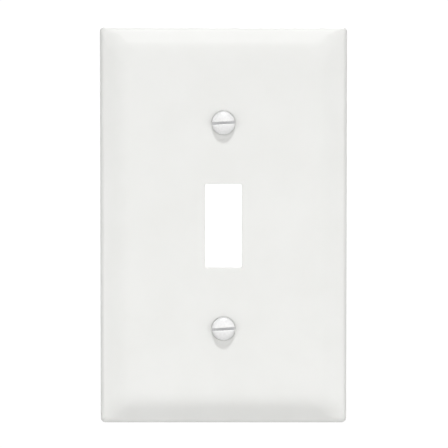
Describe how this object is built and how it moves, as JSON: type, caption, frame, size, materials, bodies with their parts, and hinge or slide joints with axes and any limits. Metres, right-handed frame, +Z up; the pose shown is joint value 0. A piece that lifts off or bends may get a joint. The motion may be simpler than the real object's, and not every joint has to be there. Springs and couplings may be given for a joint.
{
  "type": "toggle switch wall plate",
  "caption": "Bevelled white plastic wall plate with a toggle switch opening and slotted oval-head mounting screws kept by retaining washers.",
  "frame": {"origin": "centre of the plate on the wall plane, in the plane of its back rim", "axes": "+X to the right seen from the front, +Z up along the plate's height, +Y into the wall, so that the face looks towards -Y"},
  "size_m": [0.0728, 0.0139, 0.1168],
  "materials": {
    "plate_plastic": "satin moulded white thermoplastic",
    "screw_paint": "semi-gloss white paint over zinc-plated steel",
    "washer_nylon": "natural nylon, die-cut",
    "screw_zinc": "bright zinc plate on the unpainted neck and thread"
  },
  "bodies": {
    "plate": {"wall_plate": "plate_plastic"},
    "upper_washer": {"upper_retaining_washer": "washer_nylon"},
    "upper_screw": {"upper_screw": "screw_paint"},
    "lower_washer": {"lower_retaining_washer": "washer_nylon"},
    "lower_screw": {"lower_screw": "screw_paint"}
  },
  "joints": [
    {"name": "upper_screw_float", "type": "slide", "parent": "plate", "child": "upper_washer", "axis": [0, -1, 0], "range_m": [0, 0.0013]},
    {"name": "upper_screw_turn", "type": "hinge", "parent": "upper_washer", "child": "upper_screw", "pos_m": [0, 0, 0.03016], "axis": [0, -1, 0], "continuous": true},
    {"name": "lower_screw_float", "type": "slide", "parent": "plate", "child": "lower_washer", "axis": [0, -1, 0], "range_m": [0, 0.0013]},
    {"name": "lower_screw_turn", "type": "hinge", "parent": "lower_washer", "child": "lower_screw", "pos_m": [0, 0, -0.03016], "axis": [0, -1, 0], "continuous": true}
  ]
}
